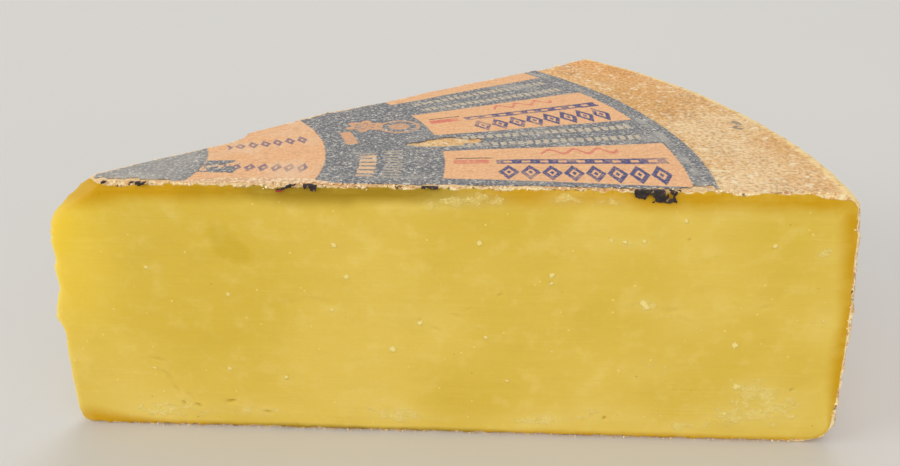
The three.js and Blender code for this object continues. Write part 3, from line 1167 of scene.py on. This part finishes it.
class CHEESE_OT_lay_label(bpy.types.Operator):
    """Lay the torn, worn label on the rind"""

    bl_idname = "cheese.lay_label"
    bl_label = "Lay the label"

    def execute(self, context):
        settings = context.scene.cheese_label
        wave = context.scene.cheese_wedge.wave
        points = label_outline(settings.radius)
        deselect()
        bpy.ops.mesh.primitive_circle_add(
            vertices=len(points), radius=settings.radius, fill_type="NGON",
            location=(AXIS.x, AXIS.y, HEIGHT))
        piece = begin("printed_label")
        shape = bmesh.from_edit_mesh(piece.data)
        shape.verts.ensure_lookup_table()
        loop = [corner.vert for corner in next(iter(shape.faces)).loops]
        for vert, (x, y) in zip(loop, points):
            vert.co = (AXIS.x + x, AXIS.y + y, HEIGHT)
        bmesh.update_edit_mesh(piece.data)
        spacing = 4 * MM
        for index in range(1, 65):
            score((AXIS.x + index * spacing, 0, 0), (1, 0, 0))
        for index in range(-4, 46):
            score((0, AXIS.y + index * spacing, 0), (0, 1, 0))
        for depth in (1, 2, 3, 5, 7.5, 10, 12.5):
            score((0, LOW.y + depth * MM, 0), (0, 1, 0))
            score(AXIS - FAR_OUT * (FAR_CUT_OFFSET + (depth - 3) * MM), FAR_OUT)
        self.tear_hole()
        bpy.ops.mesh.select_all(action="SELECT")
        bpy.ops.mesh.normals_make_consistent(inside=False)
        bpy.ops.object.mode_set(mode="OBJECT")
        if piece.data.polygons[0].normal.z < 0:
            piece.data.flip_normals()
        torn = []
        for vertex in piece.data.vertices:
            local = vertex.co - AXIS
            lift = top_wave(local.x, local.y, wave) + settings.lift
            torn.append(self.tornness(local))
            curl = 1 - ease(local.y + NEAR_CUT_OFFSET, 0.5 * MM, 4 * MM)
            lift += curl * 0.5 * MM * max(0.0, grain(local.x, 0, 0, 7 * MM, 38))
            vertex.co.z = HEIGHT + lift
        keep_values(piece, "torn", torn)
        apply_modifier(piece, "Paper", "SOLIDIFY", thickness=settings.thickness, offset=1.0)
        dress(piece, label_finish(settings))
        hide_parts("top_label")
        return {"FINISHED"}

    def tornness(self, local):
        """How bare the paper is here, from 0 to 1, along the two cut edges."""
        x = local.x / MM
        from_near = (local.y + NEAR_CUT_OFFSET) / MM
        wide = 3.6 + 1.6 * grain(x, 0, 0, 11, 46) + 6.0 * math.exp(-((x - 84) / 24) ** 4)
        near = 1 - ease(from_near, 0.4 * wide, 1.3 * wide)
        reach = math.hypot(local.x, local.y)
        inside = (far_edge_at(reach) - FAR_OUT.dot(local)) / MM
        wide = 1.4 + 1.6 * grain(reach / MM, 0, 0, 12, 47)
        return max(near, 1 - ease(inside, 0.3 * wide, 1.2 * wide))

    def tear_hole(self):
        """Tears the long bare patch out of the label."""
        middle = Vector(TORN_PATCH_PLACE) * MM
        half_length, half_width = TORN_PATCH_HALF

        def place(co):
            dx = co.x - AXIS.x - middle.x
            dy = co.y - AXIS.y - middle.y
            along = dx * math.cos(TORN_PATCH_TURN) + dy * math.sin(TORN_PATCH_TURN)
            across = dy * math.cos(TORN_PATCH_TURN) - dx * math.sin(TORN_PATCH_TURN)
            return along / (half_length * MM), across / (half_width * MM)

        def close(face):
            u, v = place(face.calc_center_median())
            return u * u + v * v < 2.6

        for _ in range(3):
            pick("FACE", close)
            bpy.ops.mesh.subdivide(number_cuts=1)

        def torn(face):
            co = face.calc_center_median()
            u, v = place(co)
            ragged = 0.45 * grain(co.x, co.y, 0, 6 * MM, 39) + 0.25 * grain(co.x, co.y, 0, 2 * MM, 40)
            return abs(u) ** 1.4 + v * v + ragged < 0.8

        pick("FACE", torn)
        bpy.ops.mesh.delete(type="FACE")


class CHEESE_OT_hang_scraps(bpy.types.Operator):
    """Hang the torn scraps of label over the near cut"""

    bl_idname = "cheese.hang_scraps"
    bl_label = "Hang the scraps"

    def execute(self, context):
        material = scrap_finish(context.scene.cheese_label)
        for number, (x, width, drop, red) in enumerate(SCRAPS, 1):
            self.hang(number, x, width, drop, red, material)
        return {"FINISHED"}

    def hang(self, number, x, width, drop, red, material):
        deselect()
        across = max(6, round(width / 0.28))
        down = max(6, round((drop + 1.0) / 0.28))
        bpy.ops.mesh.primitive_grid_add(
            x_subdivisions=across, y_subdivisions=down, size=1.0,
            location=(0, 0, 0))
        piece = begin(f"label_scrap_{number}")

        def torn(face):
            co = face.calc_center_median()
            u = co.x * 2
            v = 0.5 - co.y
            ragged = 0.75 * grain(co.x * width, v * drop, number, 2.6, 41)
            ragged += 0.6 * grain(co.x * width, v * drop, number, 1.1, 42)
            if red:
                return abs(v - 0.52 + 0.42 * u) + 0.25 * ragged > 0.17
            slope = 0.3 * abs(v - 0.35 - 0.25 * math.sin(4 * u))
            return slope + v * 0.35 + abs(u) ** 3 * 0.5 + ragged > 0.42

        pick("FACE", torn)
        bpy.ops.mesh.delete(type="FACE")
        bpy.ops.mesh.select_all(action="SELECT")
        bpy.ops.mesh.delete_loose()
        bpy.ops.object.mode_set(mode="OBJECT")
        for vertex in piece.data.vertices:
            u = vertex.co.x
            v = 0.5 - vertex.co.y
            px = x + u * width + 0.35 * grain(u * width, v * drop, number, 1.5, 43)
            fall = v * (drop + 1.0)
            fold = 1.0
            curl = 0.7 * grain(u * width, v * drop, number, 2.4, 44)
            if fall < fold:
                py = fold - fall * 1.7
                pz = 0.8
            else:
                py = -0.85 - 0.25 * v + curl
                pz = 0.8 - (fall - fold)
            pz += 0.25 * grain(u * width, v * drop, number, 1.3, 45)
            vertex.co = (px * MM, LOW.y + py * MM, HEIGHT + pz * MM)
        lowest = min(v.co.z for v in piece.data.vertices)
        red_end = [float(red and v.co.z < lowest + 1.0 * MM) for v in piece.data.vertices]
        keep_values(piece, "red_end", red_end)
        apply_modifier(piece, "Paper", "SOLIDIFY", thickness=0.35 * MM, offset=0.0)
        apply_modifier(piece, "Soften", "SUBSURF", levels=1, render_levels=1)
        bpy.ops.object.shade_smooth()
        dress(piece, material)


class CHEESE_OT_scatter_crumbs(bpy.types.Operator):
    """Leave the crumbs of rind that the cutting wire tore up along the edges"""

    bl_idname = "cheese.scatter_crumbs"
    bl_label = "Leave the crumbs"

    def execute(self, context):
        settings = context.scene.cheese_wedge
        draw = random.Random(CRUMB_SEED)
        deselect()
        places = self.places(draw, settings.wave)
        bpy.ops.mesh.primitive_ico_sphere_add(
            subdivisions=1, radius=places[0][1], location=places[0][0])
        piece = begin("rind_crumbs")
        for place, size in places[1:]:
            bpy.ops.mesh.primitive_ico_sphere_add(subdivisions=1, radius=size, location=place)
        bpy.ops.object.mode_set(mode="OBJECT")
        for vertex in piece.data.vertices:
            co = vertex.co
            for axis in range(3):
                vertex.co[axis] += 0.42 * MM * grain(co.x, co.y, co.z, 0.8 * MM, 50 + axis)
        dress(piece, crumb_finish(settings))
        return {"FINISHED"}

    def places(self, draw, wave):
        """Where each crumb's middle is, and its size."""
        found = []
        x = LOW.x + 27 * MM
        while x < HIGH.x - 18 * MM:
            local_x = x - AXIS.x
            crowd = 1 + 1.5 * grain(x, 0, 0, 16 * MM, 48)
            x = min(x + draw.uniform(0.8, 3.4) * MM / max(0.2, crowd), HIGH.x - 18 * MM)
            y = LOW.y + draw.uniform(-0.15, 3.2) * MM
            size = draw.uniform(0.2, 0.6) * MM
            top = HEIGHT + top_wave(local_x, -NEAR_CUT_OFFSET, wave)
            z = top + draw.uniform(-0.7, 0.3) * MM
            if y > LOW.y:
                z = top + draw.uniform(0.1, 0.45) * MM
            found.append((Vector((x, y, z)), size))
        along = 8 * MM
        while along < 0.285:
            along += draw.uniform(1.5, 9.0) * MM
            out = far_edge_at(math.hypot(along, FAR_CUT_OFFSET))
            place = AXIS + FAR_ALONG * along + FAR_OUT * (out + draw.uniform(-1.4, -0.1) * MM)
            place.z = HEIGHT + top_wave(place.x - AXIS.x, place.y - AXIS.y, wave)
            place.z += draw.uniform(-0.5, 0.3) * MM
            found.append((place, draw.uniform(0.25, 0.7) * MM))
        z = 6 * MM
        while z < HEIGHT - 9 * MM:
            z = min(z + draw.uniform(2.5, 11.0) * MM, HEIGHT - 9 * MM)
            edge = math.sqrt(heel_radius(clamp(z, *HEEL_SPAN)) ** 2 - NEAR_CUT_OFFSET ** 2)
            x = AXIS.x + edge - draw.uniform(1.2, 2.6) * MM
            found.append((Vector((x, LOW.y + draw.uniform(-0.25, 0.4) * MM, z)),
                          draw.uniform(0.2, 0.5) * MM))
        x = LOW.x + 22 * MM
        while x < HIGH.x - 20 * MM:
            x += draw.uniform(1.0, 7.0) * MM
            place = Vector((x, LOW.y + draw.uniform(-0.1, 0.5) * MM, draw.uniform(0.4, 1.4) * MM))
            found.append((place, draw.uniform(0.2, 0.4) * MM))
        return found


class CHEESE_OT_set_stage(bpy.types.Operator):
    """Set the floor, the lights and the camera"""

    bl_idname = "cheese.set_stage"
    bl_label = "Set the stage"

    def execute(self, context):
        settings = context.scene.cheese_stage
        deselect()
        bpy.ops.mesh.primitive_circle_add(
            vertices=160, radius=FLOOR_RADIUS, fill_type="NGON", location=(0, 0, 0))
        floor = bpy.context.object
        floor.name = "studio_floor"
        floor.data.materials.append(floor_finish(settings))

        world = bpy.data.worlds.new("studio")
        world.use_nodes = True
        background = world.node_tree.nodes["Background"]
        background.inputs["Color"].default_value = (0.96, 0.97, 1.0, 1.0)
        background.inputs["Strength"].default_value = 0.6
        context.scene.world = world

        for name, share, size, place, target, tint in LIGHTS:
            deselect()
            bpy.ops.object.light_add(type="AREA", location=place)
            lamp = bpy.context.object
            lamp.name = name
            lamp.data.energy = settings.key * share
            lamp.data.size = size
            lamp.data.color = tint
            aim = Vector(target) - Vector(place)
            lamp.rotation_euler = aim.to_track_quat("-Z", "Y").to_euler()

        bpy.ops.object.camera_add()
        camera = bpy.context.object
        camera.name = "studio_camera"
        camera.data.sensor_width = 36.0
        camera.data.lens = settings.lens
        camera.matrix_world = (
            Matrix.Translation(settings.place)
            @ Matrix.Rotation(settings.turn, 4, "Z")
            @ Matrix.Rotation(math.pi / 2 - settings.tilt, 4, "X")
            @ Matrix.Rotation(settings.roll, 4, "Z"))
        context.scene.camera = camera
        context.scene.view_settings.view_transform = "Standard"
        return {"FINISHED"}


class CHEESE_PT_maker(bpy.types.Panel):
    """Lists the pieces of the cheese wedge in the order in which they are made"""

    bl_label = "Cheese wedge"
    bl_idname = "CHEESE_PT_maker"
    bl_space_type = "VIEW_3D"
    bl_region_type = "UI"
    bl_category = "Cheese"

    def draw(self, context):
        for operator in OPERATORS:
            self.layout.operator(operator.bl_idname)
        scene = context.scene
        for settings in (scene.cheese_wedge, scene.cheese_label, scene.cheese_stage):
            box = self.layout.box()
            for name in settings.bl_rna.properties.keys():
                if name not in ("rna_type", "name"):
                    box.prop(settings, name)


OPERATORS = (
    CHEESE_OT_cut_wedge, CHEESE_OT_lay_label, CHEESE_OT_hang_scraps, CHEESE_OT_scatter_crumbs,
    CHEESE_OT_set_stage,
)
CLASSES = (WedgeSettings, LabelSettings, StageSettings, *OPERATORS, CHEESE_PT_maker)


def register():
    for kind in CLASSES:
        bpy.utils.register_class(kind)
    bpy.types.Scene.cheese_wedge = bpy.props.PointerProperty(type=WedgeSettings)
    bpy.types.Scene.cheese_label = bpy.props.PointerProperty(type=LabelSettings)
    bpy.types.Scene.cheese_stage = bpy.props.PointerProperty(type=StageSettings)


def unregister():
    del bpy.types.Scene.cheese_stage
    del bpy.types.Scene.cheese_label
    del bpy.types.Scene.cheese_wedge
    for kind in reversed(CLASSES):
        bpy.utils.unregister_class(kind)


def main():
    register()
    bpy.ops.cheese.cut_wedge()
    bpy.ops.cheese.lay_label()
    bpy.ops.cheese.hang_scraps()
    bpy.ops.cheese.scatter_crumbs()
    bpy.ops.cheese.set_stage()


if __name__ == "__main__":
    main()
